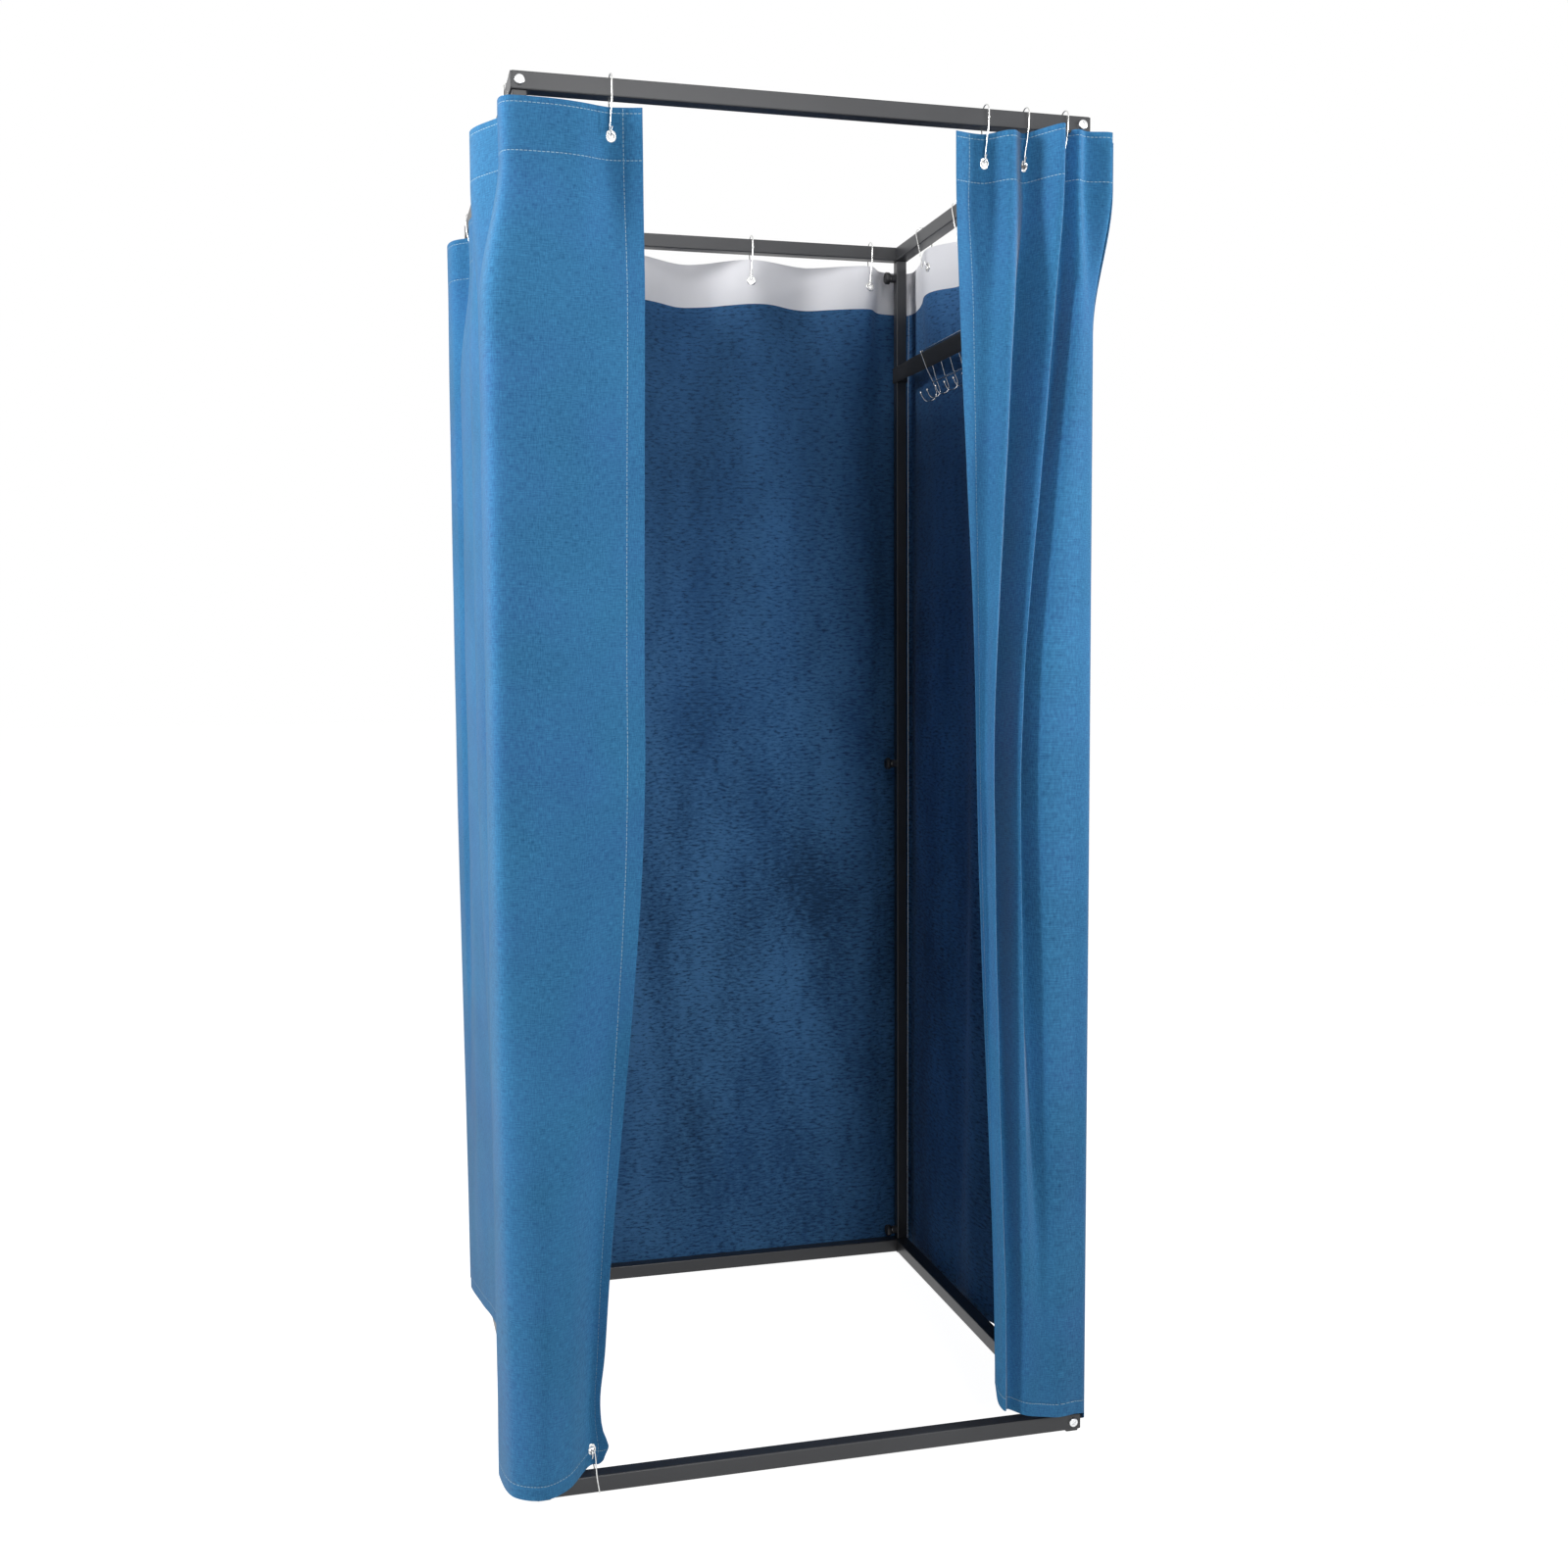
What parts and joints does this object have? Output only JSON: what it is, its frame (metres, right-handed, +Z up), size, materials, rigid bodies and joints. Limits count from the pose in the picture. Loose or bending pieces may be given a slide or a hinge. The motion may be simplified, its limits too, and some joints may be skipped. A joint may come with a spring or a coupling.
{
  "type": "portable fitting room",
  "caption": "Free-standing square changing cabin: bolted black tube frame, blue curtains on wire hooks, a curtained doorway and a wire clothes rack on a strap.",
  "frame": {"origin": "on the floor under the middle of the frame", "axes": "+Z up, +Y from the doorway to the back, +X to the right of someone who faces the doorway"},
  "size_m": [0.946, 0.9429, 2.0118],
  "materials": {
    "black_tube": "satin black powder coat on steel tube",
    "black_plastic": "moulded, fine texture",
    "bright_steel": "bright plated wire and screws",
    "blue_cloth": "plain woven polyester with a white header tape inside",
    "black_webbing": "flat woven webbing"
  },
  "bodies": {
    "frame": {"front_bottom_rail": "black_tube", "front_top_rail": "black_tube", "back_bottom_rail": "black_tube", "back_top_rail": "black_tube", "left_bottom_rail": "black_tube", "left_top_rail": "black_tube", "right_bottom_rail": "black_tube", "right_top_rail": "black_tube", "front_left_lower_post": "black_tube", "front_left_upper_post": "black_tube", "front_right_lower_post": "black_tube", "front_right_upper_post": "black_tube", "back_left_lower_post": "black_tube", "back_left_upper_post": "black_tube", "back_right_lower_post": "black_tube", "back_right_upper_post": "black_tube", "front_bottom_left_bolt": "bright_steel", "front_bottom_right_bolt": "bright_steel", "front_top_left_bolt": "bright_steel", "front_top_right_bolt": "bright_steel", "back_bottom_left_bolt": "bright_steel", "back_bottom_right_bolt": "bright_steel", "back_top_left_bolt": "bright_steel", "back_top_right_bolt": "bright_steel", "accessory_strap": "black_webbing", "left_curtain": "blue_cloth", "back_curtain": "blue_cloth", "right_curtain": "blue_cloth", "back_1_hook": "bright_steel", "back_2_hook": "bright_steel", "back_3_hook": "bright_steel", "back_4_hook": "bright_steel", "left_1_hook": "bright_steel", "left_2_hook": "bright_steel", "left_3_hook": "bright_steel", "left_4_hook": "bright_steel", "right_1_hook": "bright_steel", "right_2_hook": "bright_steel", "right_3_hook": "bright_steel", "right_4_hook": "bright_steel"},
    "front_left_bottom_knob_body": {"front_left_bottom_knob": "black_plastic"},
    "front_left_middle_knob_body": {"front_left_middle_knob": "black_plastic"},
    "front_left_top_knob_body": {"front_left_top_knob": "black_plastic"},
    "front_right_bottom_knob_body": {"front_right_bottom_knob": "black_plastic"},
    "front_right_middle_knob_body": {"front_right_middle_knob": "black_plastic"},
    "front_right_top_knob_body": {"front_right_top_knob": "black_plastic"},
    "back_left_bottom_knob_body": {"back_left_bottom_knob": "black_plastic"},
    "back_left_middle_knob_body": {"back_left_middle_knob": "black_plastic"},
    "back_left_top_knob_body": {"back_left_top_knob": "black_plastic"},
    "back_right_bottom_knob_body": {"back_right_bottom_knob": "black_plastic"},
    "back_right_middle_knob_body": {"back_right_middle_knob": "black_plastic"},
    "back_right_top_knob_body": {"back_right_top_knob": "black_plastic"},
    "left_lead": {"front_left_curtain": "blue_cloth", "front_left_lead_hook": "bright_steel", "bottom_tie_hook": "bright_steel"},
    "right_lead": {"front_right_curtain": "blue_cloth", "front_right_lead_hook": "bright_steel"},
    "right_second": {"front_right_second_hook": "bright_steel"},
    "right_third": {"front_right_third_hook": "bright_steel"},
    "rack": {"hook_rack": "bright_steel"}
  },
  "joints": [
    {"name": "front_left_bottom_knob_turn", "type": "hinge", "parent": "frame", "child": "front_left_bottom_knob_body", "pos_m": [-0.4125, -0.3875, 0.045], "axis": [0, 1, 0], "range_deg": [0, 1080]},
    {"name": "front_left_middle_knob_turn", "type": "hinge", "parent": "frame", "child": "front_left_middle_knob_body", "pos_m": [-0.4125, -0.3875, 0.997], "axis": [0, 1, 0], "range_deg": [0, 1080]},
    {"name": "front_left_top_knob_turn", "type": "hinge", "parent": "frame", "child": "front_left_top_knob_body", "pos_m": [-0.4125, -0.3875, 1.946], "axis": [0, 1, 0], "range_deg": [0, 1080]},
    {"name": "front_right_bottom_knob_turn", "type": "hinge", "parent": "frame", "child": "front_right_bottom_knob_body", "pos_m": [0.4125, -0.3875, 0.045], "axis": [0, 1, 0], "range_deg": [0, 1080]},
    {"name": "front_right_middle_knob_turn", "type": "hinge", "parent": "frame", "child": "front_right_middle_knob_body", "pos_m": [0.4125, -0.3875, 0.997], "axis": [0, 1, 0], "range_deg": [0, 1080]},
    {"name": "front_right_top_knob_turn", "type": "hinge", "parent": "frame", "child": "front_right_top_knob_body", "pos_m": [0.4125, -0.3875, 1.946], "axis": [0, 1, 0], "range_deg": [0, 1080]},
    {"name": "back_left_bottom_knob_turn", "type": "hinge", "parent": "frame", "child": "back_left_bottom_knob_body", "pos_m": [-0.3875, 0.4125, 0.045], "axis": [1, 0, 0], "range_deg": [0, 1080]},
    {"name": "back_left_middle_knob_turn", "type": "hinge", "parent": "frame", "child": "back_left_middle_knob_body", "pos_m": [-0.3875, 0.4125, 0.997], "axis": [1, 0, 0], "range_deg": [0, 1080]},
    {"name": "back_left_top_knob_turn", "type": "hinge", "parent": "frame", "child": "back_left_top_knob_body", "pos_m": [-0.3875, 0.4125, 1.946], "axis": [1, 0, 0], "range_deg": [0, 1080]},
    {"name": "back_right_bottom_knob_turn", "type": "hinge", "parent": "frame", "child": "back_right_bottom_knob_body", "pos_m": [0.3875, 0.4125, 0.045], "axis": [-1, 0, 0], "range_deg": [0, 1080]},
    {"name": "back_right_middle_knob_turn", "type": "hinge", "parent": "frame", "child": "back_right_middle_knob_body", "pos_m": [0.3875, 0.4125, 0.997], "axis": [-1, 0, 0], "range_deg": [0, 1080]},
    {"name": "back_right_top_knob_turn", "type": "hinge", "parent": "frame", "child": "back_right_top_knob_body", "pos_m": [0.3875, 0.4125, 1.946], "axis": [-1, 0, 0], "range_deg": [0, 1080]},
    {"name": "left_curtain_slide", "type": "slide", "parent": "frame", "child": "left_lead", "axis": [1, 0, 0], "range_m": [-0.045, 0.2], "deforming": ["front_left_curtain"]},
    {"name": "right_curtain_slide", "type": "slide", "parent": "frame", "child": "right_lead", "axis": [-1, 0, 0], "range_m": [-0.045, 0.254], "deforming": ["front_right_curtain"]},
    {"name": "right_second_hook_slide", "type": "slide", "parent": "frame", "child": "right_second", "axis": [-1, 0, 0], "range_m": [-0.0312, 0.1739]},
    {"name": "right_third_hook_slide", "type": "slide", "parent": "frame", "child": "right_third", "axis": [-1, 0, 0], "range_m": [-0.0065, 0.0344]},
    {"name": "rack_slide", "type": "slide", "parent": "frame", "child": "rack", "axis": [0, 1, 0], "range_m": [-0.24, 0]}
  ],
  "couplings": [
    {"joint": "right_second_hook_slide", "follows": "right_curtain_slide", "ratio": 0.6825},
    {"joint": "right_third_hook_slide", "follows": "right_curtain_slide", "ratio": 0.1336}
  ]
}
